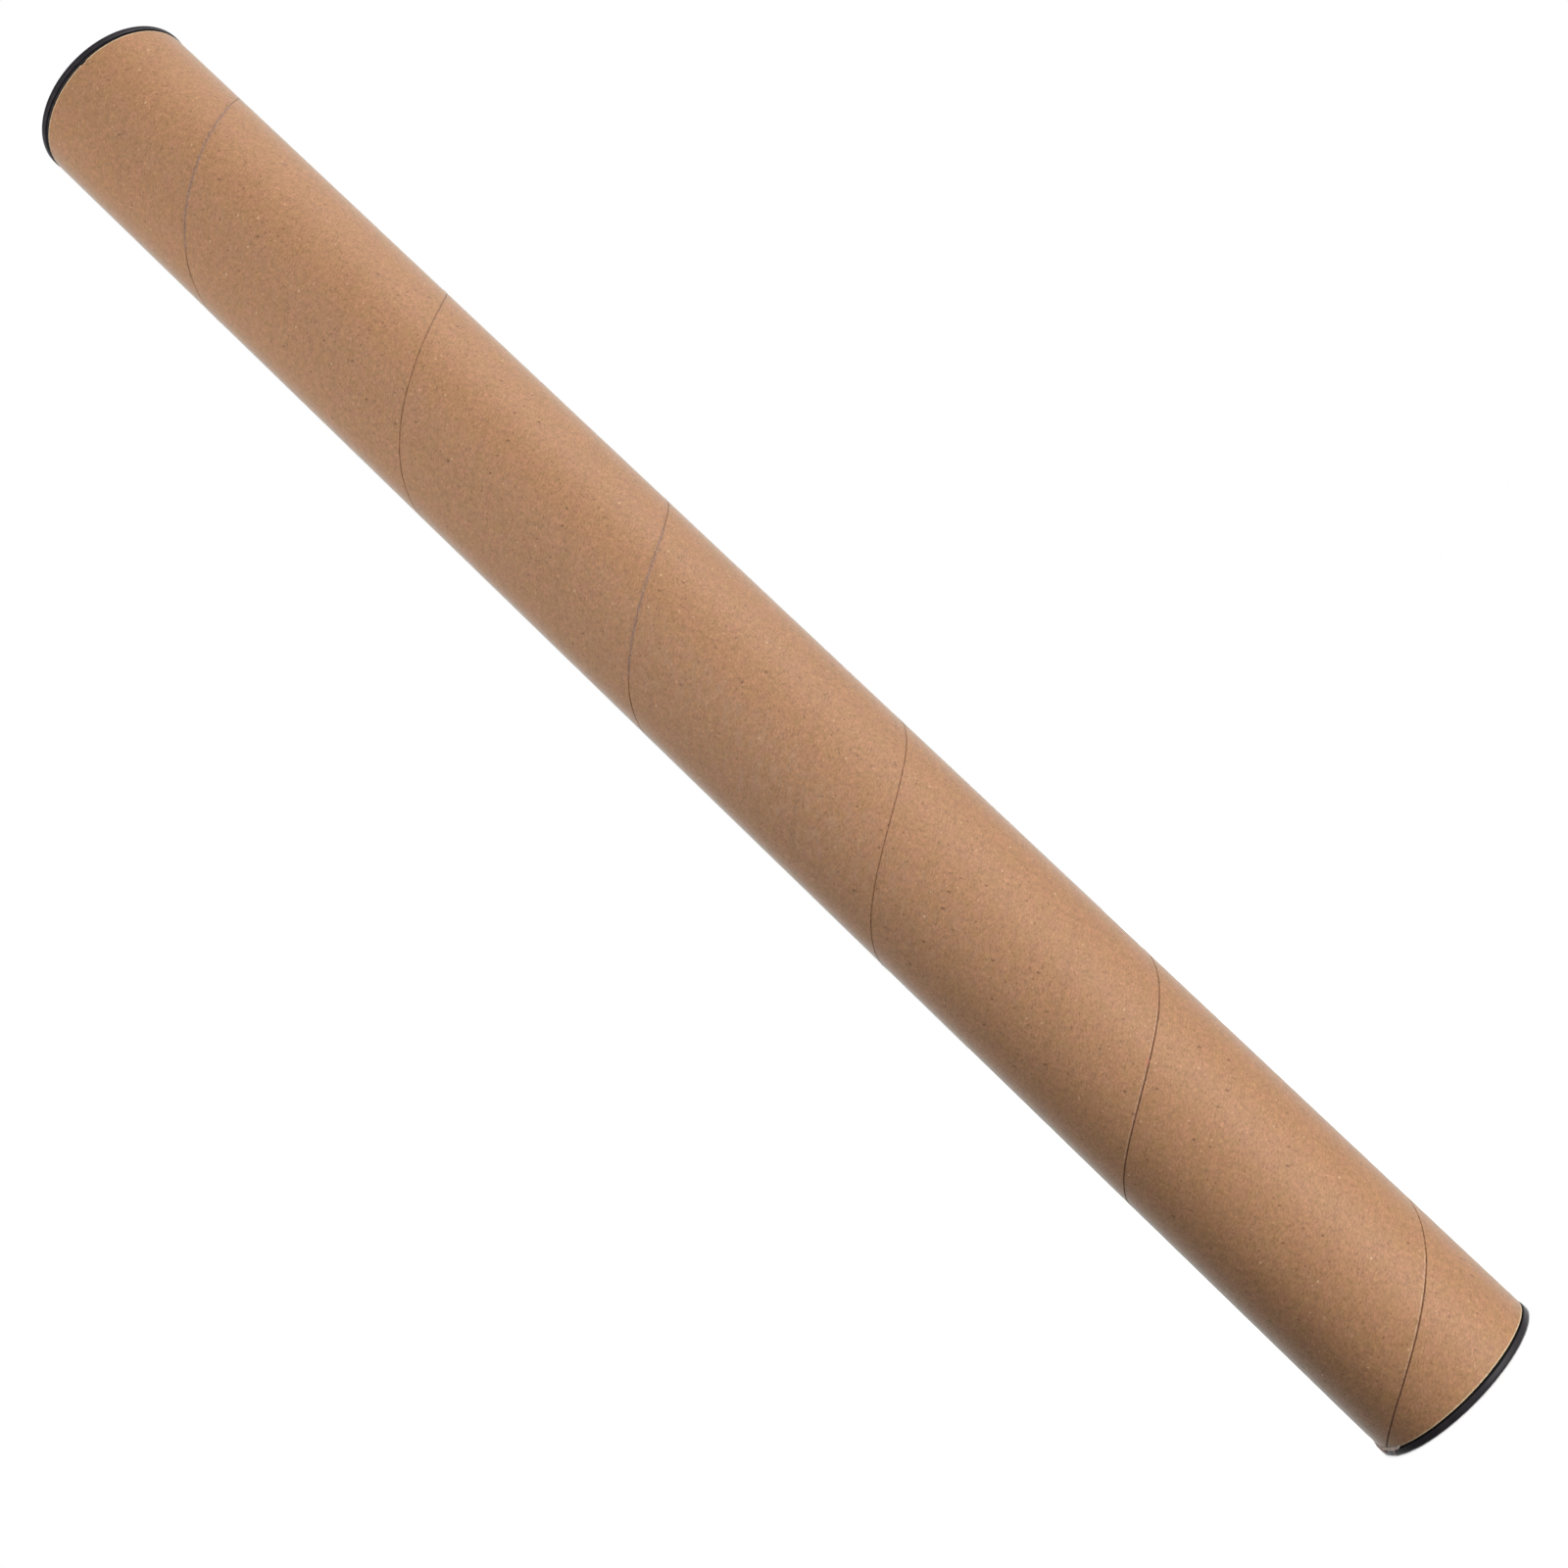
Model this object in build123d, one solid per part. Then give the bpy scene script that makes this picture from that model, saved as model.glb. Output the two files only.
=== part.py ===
from build123d import *
import math
import os

# A spiral-wound paper mailing tube with a push-in plug cap in each end.
# It stands on its lower cap: the origin is the centre of that cap's outer face, and +Z runs up the axis.

# Paper tube, in millimetres
outer_diameter = 50.0
wall = 1.5
tube_length = 500.0
outer_ply = 0.35
ply_strip_width = 76.2

# Butt seam of the outer ply, in millimetres and degrees
seam_width = 0.4
seam_glue = 0.05
seam_start_angle = -160.1

# Torn corner of the outer ply beside the seam, at the lower rim
torn_corner_length = 5.6
torn_corner_height = 1.0

# Nick in the outer ply at the upper rim
nick_length = 2.0
nick_height = 0.45
nick_angle = -87.1

# Plug caps, in millimetres
flange_overhang = 0.15
flange_thickness = 2.2
flange_edge_radius = 0.6
flange_seat_bevel = 0.4
plug_length = 18.0
plug_wall = 1.1
plug_floor = 1.2
plug_gap = 0.35
plug_nose_length = 1.6
plug_nose_taper = 0.6
recess_mouth_bevel = 0.4
grip_count = 2
grip_width = 0.9
grip_clearance = 0.06
grip_first = 4.0
grip_spacing = 5.0

# Sizes that follow from the ones above
outer_radius = outer_diameter / 2
bore_radius = outer_radius - wall
circumference = math.pi * outer_diameter
seam_rise_angle = math.asin(ply_strip_width / circumference)
seam_pitch = circumference * math.tan(seam_rise_angle)
seam_depth = outer_ply - seam_glue
flange_radius = outer_radius + flange_overhang
lower_rim = flange_thickness
upper_rim = lower_rim + tube_length
total_height = upper_rim + flange_thickness
plug_radius = bore_radius - plug_gap
plug_end = flange_thickness + plug_length
recess_radius = plug_radius - plug_wall
recess_depth = plug_end - plug_floor
grip_radius = bore_radius - grip_clearance


def seam_groove():
    """The gap of the butt seam, which winds up the tube and runs a little past both rims."""
    overrun_angle = 30
    overrun = seam_pitch * overrun_angle / 360
    path = Helix(pitch=seam_pitch, height=tube_length + 2 * overrun, radius=outer_radius)
    section_plane = Plane(origin=path @ 0, x_dir=(1, 0, 0), z_dir=path % 0)
    section = section_plane * Rectangle(2 * seam_depth, seam_width)
    groove = sweep(section, path=path, is_frenet=True)
    return Pos(0, 0, lower_rim - overrun) * Rot(0, 0, seam_start_angle - overrun_angle) * groove


def torn_patch(corners, rim, angle):
    """A patch missing from the outer ply. Its corners are given along the rim and up from it."""
    skin_height = 4 * wall
    skin = Cylinder(outer_radius + outer_ply, skin_height)
    skin -= Cylinder(outer_radius - outer_ply, skin_height)
    side = Plane(origin=(outer_radius, 0, 0), x_dir=(0, 1, 0), z_dir=(1, 0, 0))
    outline = side * make_face(Polyline(*corners, close=True))
    patch = extrude(outline, amount=wall, both=True)
    return Pos(0, 0, rim) * Rot(0, 0, angle) * (patch & skin)


def torn_corner():
    """The corner of the outer ply that has come away beside the seam, at the lower rim."""
    lean = torn_corner_height / math.tan(seam_rise_angle)
    corners = [
        (0, -outer_ply),
        (torn_corner_length, -outer_ply),
        (torn_corner_length, 0),
        (lean, torn_corner_height),
        (0, 0),
    ]
    return torn_patch(corners, lower_rim, seam_start_angle)


def rim_nick():
    """The small nick in the outer ply at the upper rim, deepest a little to one side."""
    half = nick_length / 2
    deepest = half / 3
    corners = [(-half, outer_ply), (-half, 0), (deepest, -nick_height), (half, 0), (half, outer_ply)]
    return torn_patch(corners, upper_rim, nick_angle)


def paper_tube():
    """The wound tube: one wall with its spiral seam, the torn corner and the nick."""
    middle = Pos(0, 0, lower_rim + tube_length / 2)
    tube = middle * Cylinder(outer_radius, tube_length) - middle * Cylinder(bore_radius, tube_length)
    return tube - seam_groove() - torn_corner() - rim_nick()


def flange_edge_points():
    """The rounded outer edge of the flange, as two short bevels round an arc."""
    centre = flange_radius - flange_edge_radius
    points = []
    for degrees in (0, 45, 90):
        turn = math.radians(degrees)
        across = centre + flange_edge_radius * math.sin(turn)
        up = flange_edge_radius - flange_edge_radius * math.cos(turn)
        points.append((across, up))
    return points


def grip_points(start):
    """One low ring round the plug, whose crest grips the bore."""
    crest = start + grip_width / 2
    return [(plug_radius, start), (grip_radius, crest), (plug_radius, start + grip_width)]


def cap_section():
    """Half of the cap's section, from the axis: recess, flange, then the plug with its grips."""
    corners = [
        (0, recess_depth),
        (recess_radius, recess_depth),
        (recess_radius, recess_mouth_bevel),
        (recess_radius + recess_mouth_bevel, 0),
    ]
    corners += flange_edge_points()
    corners += [
        (flange_radius, flange_thickness - flange_seat_bevel),
        (flange_radius - flange_seat_bevel, flange_thickness),
        (plug_radius, flange_thickness),
    ]
    for ring in range(grip_count):
        corners += grip_points(flange_thickness + grip_first + ring * grip_spacing)
    corners += [
        (plug_radius, plug_end - plug_nose_length),
        (plug_radius - plug_nose_taper, plug_end),
        (0, plug_end),
    ]
    return Plane.XZ * make_face(Polyline(*corners, close=True))


def plug_cap():
    """One moulded cap, flange down and plug up."""
    return revolve(cap_section(), axis=Axis.Z)


parts = {
    "tube": paper_tube(),
    "bottom_cap": plug_cap(),
    "top_cap": Pos(0, 0, total_height) * Rot(180, 0, 0) * plug_cap(),
}

os.makedirs("parts", exist_ok=True)
for name, shape in parts.items():
    export_step(shape, os.path.join("parts", name + ".step"))
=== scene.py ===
import math
from types import SimpleNamespace

import bmesh
import bpy
from mathutils import Matrix, Vector


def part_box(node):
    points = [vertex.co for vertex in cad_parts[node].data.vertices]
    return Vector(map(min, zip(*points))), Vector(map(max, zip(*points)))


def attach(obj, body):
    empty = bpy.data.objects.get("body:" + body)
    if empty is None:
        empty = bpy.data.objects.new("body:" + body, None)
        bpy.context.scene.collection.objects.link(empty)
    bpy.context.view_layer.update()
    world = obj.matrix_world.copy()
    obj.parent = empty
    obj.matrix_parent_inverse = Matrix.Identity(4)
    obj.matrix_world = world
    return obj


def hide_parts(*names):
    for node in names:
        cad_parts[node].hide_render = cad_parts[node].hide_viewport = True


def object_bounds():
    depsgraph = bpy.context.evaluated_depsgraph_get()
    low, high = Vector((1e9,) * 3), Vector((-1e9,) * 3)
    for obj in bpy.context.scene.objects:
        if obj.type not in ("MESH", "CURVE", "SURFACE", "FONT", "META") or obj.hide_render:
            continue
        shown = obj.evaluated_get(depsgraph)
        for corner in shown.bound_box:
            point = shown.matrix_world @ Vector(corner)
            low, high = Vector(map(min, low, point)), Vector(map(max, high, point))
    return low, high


# A spiral-wound brown paper mailing tube with a black plastic plug cap in each end.
# Lengths are in metres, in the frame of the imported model: +Z up the axis, the lower cap's face at zero.

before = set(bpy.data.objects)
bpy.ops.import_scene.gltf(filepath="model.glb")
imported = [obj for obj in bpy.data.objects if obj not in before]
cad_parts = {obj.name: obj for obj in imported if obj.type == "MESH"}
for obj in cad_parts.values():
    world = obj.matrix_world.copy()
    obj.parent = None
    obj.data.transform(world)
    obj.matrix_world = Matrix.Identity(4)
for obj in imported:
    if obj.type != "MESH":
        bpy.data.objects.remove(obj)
frame_low, frame_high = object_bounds()

MM = 0.001
FULL_TURN = 2 * math.pi

# Sizes read from the frame
tube_low, tube_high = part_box("tube")
lower_cap_low, lower_cap_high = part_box("bottom_cap")
lower_rim = tube_low.z
upper_rim = tube_high.z
outer_radius = tube_high.x
flange_radius = lower_cap_high.x
flange_thickness = lower_rim - lower_cap_low.z
plug_end = lower_cap_high.z

# Paper tube
wall = 1.5 * MM
bore_radius = outer_radius - wall
strip_width = 76.2 * MM
seam_rise = math.asin(strip_width / (FULL_TURN * outer_radius))
seam_pitch = FULL_TURN * outer_radius * math.tan(seam_rise)
seam_angle = math.radians(-160.1)
rim_band = 1.6 * MM
rim_bevel_width = 0.06 * MM
rim_bevel_height = 0.32 * MM
rim_fray_height = 0.45 * MM
bore_bevel = 0.08 * MM
columns_a_turn = 420

# What the wall's formulas use, and the named inputs of its tree
wall_sizes = SimpleNamespace(
    lower_rim=lower_rim,
    upper_rim=upper_rim,
    outer_radius=outer_radius,
    outer_ply=0.35 * MM,
    strip_width=strip_width,
    seam_pitch=seam_pitch,
    seam_half_width=0.14 * MM,
    seam_edge_round=0.06 * MM,
    seam_depth=0.30 * MM,
    seam_wander=0.09 * MM,
    seam_drift=0.65 * MM,
    lip_height=0.07 * MM,
    lip_width=0.30 * MM,
    inner_seam_share=0.315,
    inner_seam_depth=0.03 * MM,
    inner_seam_width=0.8 * MM,
    torn_length=5.6 * MM,
    torn_height=1.0 * MM,
    nick_length=2.0 * MM,
    nick_height=0.45 * MM,
    dent_depth=0.14 * MM,
    dent_height=3.5 * MM,
)
nick_angle = math.radians(-87.1)
dent_angle = math.radians(-179)
dent_half_angle = 0.24

# Marks on the paper. Those along the butt seam are placed in turns from the lower rim: it is felted over
# with grey fluff on two stretches, and has a lifted lip, with a painted highlight, on two.
felted_turns = [(3.08, 3.33), (5.08, 5.36)]
lipped_turns = [(0.14, 0.32), (1.07, 1.30)]
red_fibre_turn = 1.222
# Where the paper is scuffed, with a painted sheen on the same patches
scuff_sheen_angle = math.radians(-115)
scuff_sheen_height = 226 * MM
scuff_sheen_reach = 55 * MM

# Plug caps
plug_radius = bore_radius - 0.35 * MM
plug_wall = 1.1 * MM
plug_floor = 1.2 * MM
plug_draft = 0.25 * MM
nose_length = 1.6 * MM
nose_taper = 0.6 * MM
grip_radius = plug_radius + 0.29 * MM
grip_width = 0.9 * MM
grip_starts = [4.0 * MM, 9.0 * MM]
recess_radius = plug_radius - plug_wall
recess_floor = plug_end - plug_floor
flange_edge_radius = 0.6 * MM
relief_height = 0.48 * MM
relief_depth = 0.65 * MM
upper_cap_gap = 0.95 * MM
cap_columns = 192

# Camera, as fitted to the photograph
camera_distance = 505.920 * MM
camera_height = 144.019 * MM
camera_yaw = math.radians(0.98161)
camera_tilt = math.radians(9.08255)
camera_roll = math.radians(-46.1522)
photo_width = 1600
focal_pixels = 1962.173
sensor_width = 36.0


class Number:
    """A number that a node tree works out, so that a formula reads as plain arithmetic."""

    def __init__(self, tree, socket):
        self.tree = tree
        self.socket = socket

    def __add__(self, other):
        return work_out("ADD", self, other)

    def __radd__(self, other):
        return work_out("ADD", other, self)

    def __sub__(self, other):
        return work_out("SUBTRACT", self, other)

    def __rsub__(self, other):
        return work_out("SUBTRACT", other, self)

    def __mul__(self, other):
        return work_out("MULTIPLY", self, other)

    def __rmul__(self, other):
        return work_out("MULTIPLY", other, self)

    def __truediv__(self, other):
        return work_out("DIVIDE", self, other)

    def __rtruediv__(self, other):
        return work_out("DIVIDE", other, self)


def work_out(operation, *terms):
    """Adds one Math node that works the operation out on numbers of the tree and on plain ones."""
    tree = next(term.tree for term in terms if isinstance(term, Number))
    node = tree.nodes.new("ShaderNodeMath")
    node.operation = operation
    for socket, term in zip(node.inputs, terms):
        plug(tree, socket, term)
    return Number(tree, node.outputs[0])


def plug(tree, socket, term):
    """Links a number of the tree into a socket, or sets a plain value on it."""
    if isinstance(term, Number):
        tree.links.new(term.socket, socket)
    else:
        socket.default_value = term


def rise(term, start, end):
    """Goes smoothly from 0 to 1 while the term goes from start to end."""
    node = term.tree.nodes.new("ShaderNodeMapRange")
    node.interpolation_type = "SMOOTHSTEP"
    plug(term.tree, node.inputs["Value"], term)
    plug(term.tree, node.inputs["From Min"], start)
    plug(term.tree, node.inputs["From Max"], end)
    return Number(term.tree, node.outputs[0])


def hump(term, half_width):
    """Is 1 where the term is zero, and falls off smoothly to 0 within about twice the half width."""
    share = term / half_width
    return work_out("EXPONENT", share * share * -1)


def between(term, start, end, edge):
    """Is 1 where the term lies between start and end, with soft edges."""
    return rise(term, start - edge, start + edge) * rise(term, end + edge, end - edge)


def vector_of(tree, x, y, z):
    node = tree.nodes.new("ShaderNodeCombineXYZ")
    for socket, term in zip(node.inputs, (x, y, z)):
        plug(tree, socket, term)
    return Number(tree, node.outputs[0])


def parts_of(vector):
    node = vector.tree.nodes.new("ShaderNodeSeparateXYZ")
    plug(vector.tree, node.inputs[0], vector)
    return [Number(vector.tree, output) for output in node.outputs]


def around(tree, angle, radius, height):
    """The place at a height, and at a radius and an angle about the axis."""
    return vector_of(tree, work_out("COSINE", angle) * radius, work_out("SINE", angle) * radius, height)


def from_axis(x, y):
    """How far a point lies from the axis."""
    return work_out("SQRT", x * x + y * y)


def noise(place, size, detail=2.0, roughness=0.5, line=False):
    """Noise between 0 and 1 with features of a size. The place is a vector, or a length along a line."""
    node = place.tree.nodes.new("ShaderNodeTexNoise")
    node.noise_dimensions = "1D" if line else "3D"
    plug(place.tree, node.inputs["W" if line else "Vector"], place)
    node.inputs["Scale"].default_value = 1 / size
    node.inputs["Detail"].default_value = detail
    node.inputs["Roughness"].default_value = roughness
    return Number(place.tree, node.outputs[0])


def specks(place, spacing, radius, share):
    """Is 1 on round specks, one in a share of the cells of a spacing, each with a size of its own."""
    node = place.tree.nodes.new("ShaderNodeTexVoronoi")
    node.voronoi_dimensions = "2D"
    plug(place.tree, node.inputs["Vector"], place)
    node.inputs["Scale"].default_value = 1 / spacing
    away = Number(place.tree, node.outputs["Distance"]) * spacing
    size_draw, pick, strength = parts_of(Number(place.tree, node.outputs["Color"]))
    edge = (size_draw * size_draw + 0.35) * radius
    return work_out("LESS_THAN", pick, share) * rise(away, edge, edge * 0.35) * (strength * 0.6 + 0.4)


def seam_wobble(size, turned):
    """How far the butt seam strays from its true spiral: fine wobbles, and a drift over several turns."""
    wobble_length = 9 * MM
    drift_turns = 5
    drift_start = 0.3 * FULL_TURN
    wobble = (noise(turned * outer_radius, wobble_length, detail=4, line=True) - 0.5) * 2
    drift = work_out("COSINE", turned / drift_turns - drift_start)
    return wobble * size.seam_wander - drift * size.seam_drift


def seam_finder(size, turned, height):
    """The nearest turn of the seam: how far it has turned by there, and how far above it a point lies."""
    strips = (height - size.lower_rim) / size.seam_pitch - turned / FULL_TURN
    nearest = work_out("ROUND", strips)
    seam_turned = turned + nearest * FULL_TURN
    distance = (strips - nearest) * size.strip_width - seam_wobble(size, seam_turned)
    return strips, seam_turned, distance


def past_inner_seam(size, strips):
    """How far a point lies above the seam of the inner plies, which winds between the butt seam's turns."""
    return (work_out("FRACT", strips + 8) - size.inner_seam_share) * size.strip_width


def on_stretches(seam_turned, stretches, edge):
    """Is 1 where the seam lies on one of the stretches, which are in turns, with soft edges."""
    turns = seam_turned / FULL_TURN
    return sum(between(turns, first, last, edge) for first, last in stretches)


def felted(seam_turned):
    """Is 1 where the seam is felted over with grey fluff."""
    return on_stretches(seam_turned, felted_turns, 0.02)


def lipped(seam_turned):
    """Is 1 where the upper edge of the seam has lifted into a lip, which the colour marks with a painted
    highlight.
    """
    return on_stretches(seam_turned, lipped_turns, 0.015)


def seam_strength(seam_turned):
    """How clearly the seam shows: most on its first two turns, least where it is felted over."""
    clear = 0.80
    faint = 0.50
    hidden_by_felt = 0.85
    shown = faint + rise(seam_turned / FULL_TURN, 1.9, 1.5) * (clear - faint)
    return shown * (1 - felted(seam_turned) * hidden_by_felt)


def torn_corner(size, turned, height, distance):
    """Is 1 where the outer ply has come away at the seam's start: a pointed corner and a low band."""
    soft = 0.08 * MM
    steepness = 1.45
    band_height = 0.62 * MM
    band_start = -2.7 * MM
    band_end = 5.8 * MM
    along = work_out("SINE", turned) * size.outer_radius
    fray = (noise(along, 0.9 * MM, detail=3, line=True) - 0.5) * 0.5 * MM
    slope = size.torn_height * steepness / size.torn_length
    edge = (size.torn_length - along) * slope + fray
    up = height - size.lower_rim
    corner = rise(up, edge + soft, edge - soft) * rise(distance, 0.1 * MM, -0.05 * MM)
    band = rise(up, fray + (band_height + soft), fray + (band_height - soft))
    band = band * between(along, band_start, band_end, 0.3 * MM)
    near_seam_start = rise(work_out("COSINE", turned), 0.93, 0.95)
    return work_out("MAXIMUM", corner, band) * near_seam_start


def rim_nick(size, turned, height):
    """Is 1 in the small nick of the upper rim, which is deepest a little to one side."""
    angle = turned + (seam_angle - nick_angle)
    across = work_out("SINE", angle) * size.outer_radius
    half = size.nick_length / 2
    rising = (across + half) / (half * (4 / 3))
    falling = (half - across) / (half * (2 / 3))
    depth = work_out("MINIMUM", rising, falling) * size.nick_height
    down = size.upper_rim - height
    near_nick = rise(work_out("COSINE", angle), 0.9, 0.95)
    return rise(down - depth, 0.08 * MM, -0.04 * MM) * near_nick


def wall_relief(size, turned, height):
    """How far the outer ply stands out of the true cylinder: seams, lips, dent and what is torn away."""
    strips, seam_turned, distance = seam_finder(size, turned, height)
    away = work_out("ABSOLUTE", distance)
    along = seam_turned * outer_radius
    gap = 0.45 + noise(along, 2.3 * MM, detail=3, line=True)
    opened = gap * seam_strength(seam_turned)
    round_edge = size.seam_half_width + size.seam_edge_round
    groove = rise(away, round_edge, size.seam_half_width) * opened * size.seam_depth
    other_draw = work_out("SIGN", distance) * 40 * MM
    curl = rise(noise(along + other_draw, 5 * MM, detail=3, line=True), 0.45, 0.7)
    lifted = lipped(seam_turned) * rise(distance, -0.1 * MM, 0.1 * MM)
    past_edge = work_out("MAXIMUM", away - round_edge, 0.0)
    lip = hump(past_edge, size.lip_width) * work_out("MAXIMUM", curl * 0.7, lifted) * size.lip_height
    lip = lip * rise(away, size.seam_half_width, round_edge)
    hollow = hump(past_inner_seam(size, strips), size.inner_seam_width) * size.inner_seam_depth
    facing = work_out("COSINE", turned + (seam_angle - dent_angle))
    dent = rise(facing, math.cos(dent_half_angle), 1.0) * hump(height - size.lower_rim, size.dent_height)
    torn = torn_corner(size, turned, height, distance)
    missing = work_out("MAXIMUM", torn, rim_nick(size, turned, height))
    intact = (lip - groove - hollow) * (1 - missing)
    return intact - missing * size.outer_ply * 0.9 - dent * size.dent_depth


def strip_section():
    """Places across one turn of the strip, close together beside the seam and over the inner seam."""
    beside_seam = [0.11, 0.15, 0.21, 0.38, 0.7, 1.4, 2.8]
    over_inner_seam = [-2.2, -1.1, -0.5, 0, 0.5, 1.1, 2.2]
    lift = MM / math.cos(seam_rise)
    inner_seam = wall_sizes.inner_seam_share * seam_pitch
    places = [0, seam_pitch]
    places += [lift * near for near in beside_seam]
    places += [seam_pitch - lift * near for near in beside_seam]
    places += [inner_seam + lift * near for near in over_inner_seam]
    places += [inner_seam * share for share in (0.3, 0.6)]
    places += [inner_seam + (seam_pitch - inner_seam) * share for share in (0.15, 0.32, 0.5, 0.68, 0.84)]
    return sorted(places)


def new_tree(name, sizes):
    """A tree of Geometry Nodes with named inputs for its sizes. Gives the tree, its ends and the sizes."""
    tree = bpy.data.node_groups.new(name, "GeometryNodeTree")
    tree.interface.new_socket("Geometry", in_out="INPUT", socket_type="NodeSocketGeometry")
    tree.interface.new_socket("Geometry", in_out="OUTPUT", socket_type="NodeSocketGeometry")
    for size_name, value in vars(sizes).items():
        kind = "NodeSocketInt" if isinstance(value, int) else "NodeSocketFloat"
        tree.interface.new_socket(size_name, in_out="INPUT", socket_type=kind)
    inside = tree.nodes.new("NodeGroupInput")
    output = tree.nodes.new("NodeGroupOutput")
    numbers = {size_name: Number(tree, inside.outputs[size_name]) for size_name in vars(sizes)}
    return tree, inside, output, SimpleNamespace(**numbers)


def run_tree(piece, tree, sizes):
    """Puts the tree on a piece and sets its inputs, each by its socket's identifier."""
    modifier = piece.modifiers.new(tree.name, "NODES")
    modifier.node_group = tree
    for socket in tree.interface.items_tree:
        if socket.in_out == "INPUT" and socket.name in vars(sizes):
            modifier[socket.identifier] = getattr(sizes, socket.name)


def point_place(tree):
    """Where each point of a mesh lies when it gets to this step of the tree."""
    return Number(tree, tree.nodes.new("GeometryNodeInputPosition").outputs[0])


def sheet(tree, columns, rows, place):
    """A sheet of faces. place says how far round, how far out and how high a point of it lies."""
    grid = tree.nodes.new("GeometryNodeMeshGrid")
    grid.inputs["Size X"].default_value = 1
    grid.inputs["Size Y"].default_value = 1
    grid.inputs["Vertices X"].default_value = columns + 1
    grid.inputs["Vertices Y"].default_value = rows + 1
    x, y, z = parts_of(point_place(tree))
    column = work_out("ROUND", (x + 0.5) * columns)
    row = work_out("ROUND", (y + 0.5) * rows)
    turned, radius, height = place(column, row)
    moved = tree.nodes.new("GeometryNodeSetPosition")
    tree.links.new(grid.outputs["Mesh"], moved.inputs["Geometry"])
    plug(tree, moved.inputs["Position"], round_the_axis(tree, turned, radius, height))
    return moved.outputs["Geometry"]


def round_the_axis(tree, turned, radius, height):
    """The place at a radius and height, turned from where the seam starts."""
    return around(tree, turned + seam_angle, radius, height)


def wound_strip(tree, size, source, section):
    """The outer ply: one strip, wound from under the lower rim to over the upper one, cut off at both."""
    first_column = -columns_a_turn
    turns = (upper_rim - lower_rim) / seam_pitch
    columns = math.ceil(turns * columns_a_turn) + columns_a_turn
    sample = tree.nodes.new("GeometryNodeSampleIndex")
    sample.data_type = "FLOAT_VECTOR"
    tree.links.new(source, sample.inputs["Geometry"])
    tree.links.new(point_place(tree).socket, sample.inputs["Value"])

    def place(column, row):
        turned = (column + first_column) * (FULL_TURN / columns_a_turn)
        plug(tree, sample.inputs["Index"], row)
        across = parts_of(Number(tree, sample.outputs[0]))[2]
        share = across / size.seam_pitch
        wobble = seam_wobble(size, turned) * (1 - share) + seam_wobble(size, turned + FULL_TURN) * share
        lean = size.strip_width / size.seam_pitch
        height = across + turned * (size.seam_pitch / FULL_TURN) + wobble / lean + size.lower_rim
        height = work_out("MAXIMUM", height, size.lower_rim + rim_band)
        height = work_out("MINIMUM", height, size.upper_rim - rim_band)
        return turned, size.outer_radius, height

    return sheet(tree, columns, len(section) - 1, place)


def rim_fray(tree, turned):
    """How rough the cut rim is, from 0 to 1, the same after a whole turn."""
    return noise(around(tree, turned, outer_radius, 0.0), 1.1 * MM, detail=3, roughness=0.6)


def wall_rings(tree, size):
    """The rest of the wall, ring by ring: band, rim, bore, rim and band. Each stop is a radius, a height
    and how far the cut's roughness moves it up."""
    outside = size.outer_radius
    low, high = size.lower_rim, size.upper_rim
    rough = rim_fray_height
    stops = [
        (outside, low + rim_band, 0),
        (outside, low + rim_bevel_height, rough),
        (outside - rim_bevel_width, low, 0),
        (bore_radius + bore_bevel, low, 0),
        (bore_radius, low + bore_bevel, 0),
        (bore_radius, high - bore_bevel, 0),
        (bore_radius + bore_bevel, high, 0),
        (outside - rim_bevel_width, high, 0),
        (outside, high - rim_bevel_height, -rough),
        (outside, high - rim_band, 0),
    ]
    row_counts = [9, 2, 4, 1, 12, 1, 4, 2, 9]
    for start, end, rows in zip(stops, stops[1:], row_counts):
        def place(column, row, start=start, end=end, rows=rows):
            turned = column * (FULL_TURN / columns_a_turn)
            share = row / rows
            radius, height, fray = (a + share * (b - a) for a, b in zip(start, end))
            return turned, radius, height + fray * (rim_fray(tree, turned) - 0.5)

        yield sheet(tree, columns_a_turn, rows, place)


def raise_relief(tree, size):
    """Moves the points of the outer ply in or out by its relief, and leaves the bore as it is."""
    x, y, z = parts_of(point_place(tree))
    radius = from_axis(x, y)
    outer = rise(radius, bore_radius + wall * 0.3, outer_radius - rim_bevel_width)
    turned = work_out("ARCTAN2", y, x) - seam_angle
    stretch = 1 + wall_relief(size, turned, z) * outer / radius
    moved = tree.nodes.new("GeometryNodeSetPosition")
    plug(tree, moved.inputs["Position"], vector_of(tree, x * stretch, y * stretch, z))
    return moved


def link_in_order(tree, nodes, output):
    """Links the first output of each node to the first input of the next, and the last to the output."""
    for earlier, later in zip(nodes, nodes[1:]):
        tree.links.new(earlier.outputs[0], later.inputs[0])
    tree.links.new(nodes[-1].outputs[0], output.inputs[0])


def set_material(tree, material, selection=None):
    node = tree.nodes.new("GeometryNodeSetMaterial")
    node.inputs["Material"].default_value = material
    if selection is not None:
        plug(tree, node.inputs["Selection"], selection)
    return node


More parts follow.
